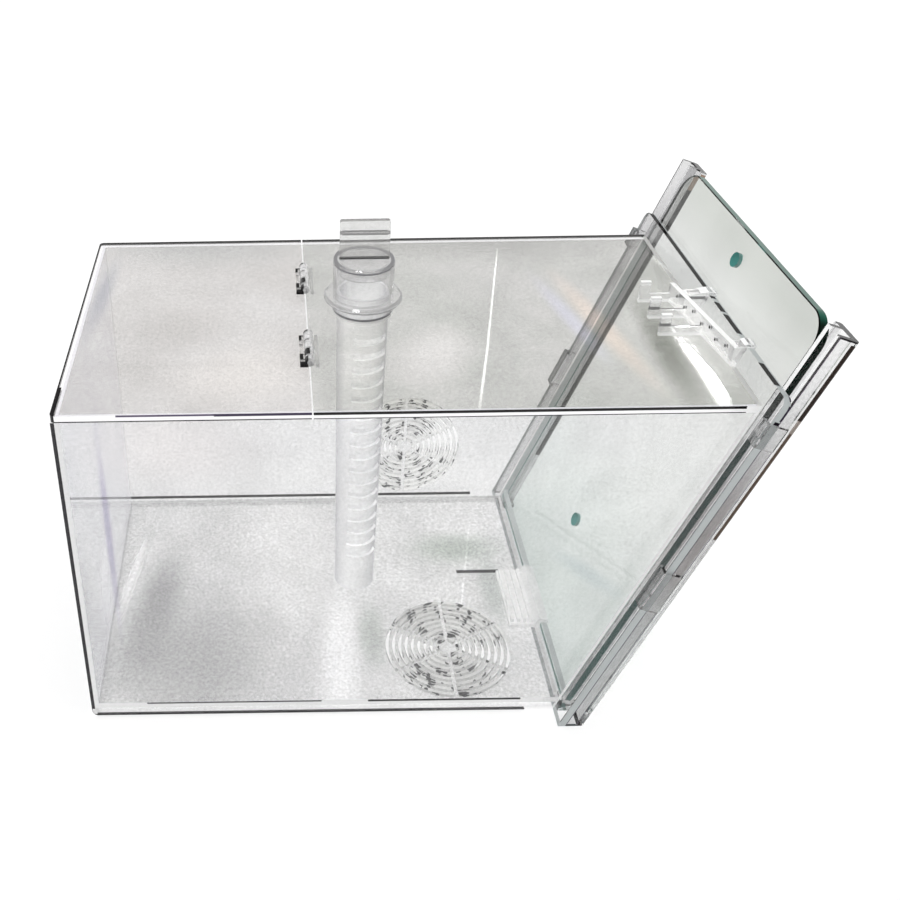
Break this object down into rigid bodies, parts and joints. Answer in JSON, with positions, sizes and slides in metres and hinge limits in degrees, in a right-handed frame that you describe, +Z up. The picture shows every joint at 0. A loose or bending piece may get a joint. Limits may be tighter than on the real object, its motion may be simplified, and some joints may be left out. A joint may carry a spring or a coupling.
{
  "type": "aquarium fish trap",
  "caption": "Clear box trap for catching fish in an aquarium, with a leaning glass slide door, a hinged lid, round water grilles and a hanging slotted feeding tube.",
  "frame": {"origin": "on the surface that the trap stands on, under the middle of its overall box", "axes": "+X from the closed end to the door end, +Y from the front wall to the rear wall, +Z up"},
  "size_m": [0.291, 0.1726, 0.2066],
  "materials": {
    "clear_acrylic": "clear polished acrylic",
    "pin_acrylic": "smoky drawn rod",
    "door_glass": "float glass with a ground green edge"
  },
  "bodies": {
    "box": {"end_wall": "clear_acrylic", "front_wall": "clear_acrylic", "rear_wall": "clear_acrylic", "floor_panel": "clear_acrylic", "top_panel": "clear_acrylic", "panel_knuckles_front": "clear_acrylic", "panel_knuckles_rear": "clear_acrylic", "hinge_pin_front": "pin_acrylic", "hinge_pin_rear": "pin_acrylic", "end_frame": "clear_acrylic", "front_rail": "clear_acrylic", "rear_rail": "clear_acrylic", "top_clip": "clear_acrylic", "floor_clip": "clear_acrylic", "tube_guide": "clear_acrylic"},
    "lid": {"lid_panel": "clear_acrylic", "lid_knuckles_front": "clear_acrylic", "lid_knuckles_rear": "clear_acrylic"},
    "door": {"door_glass": "door_glass"},
    "feeder": {"feeding_tube": "clear_acrylic", "tube_foot": "clear_acrylic", "tube_socket": "clear_acrylic", "tube_collar": "clear_acrylic"},
    "plug": {"tube_plug": "clear_acrylic", "plug_tab": "clear_acrylic"}
  },
  "joints": [
    {"name": "lid_hinge", "type": "hinge", "parent": "box", "child": "lid", "pos_m": [-0.04628, 0, 0.1673], "axis": [0, 1, 0], "range_deg": [0, 95]},
    {"name": "door_slide", "type": "slide", "parent": "box", "child": "door", "axis": [0.3355, 0, 0.9421], "range_m": [0, 0.166]},
    {"name": "tube_lift", "type": "slide", "parent": "box", "child": "feeder", "axis": [0, 0, 1], "range_m": [0, 0.17]},
    {"name": "plug_lift", "type": "slide", "parent": "feeder", "child": "plug", "axis": [0, 0, 1], "range_m": [0, 0.03]}
  ]
}
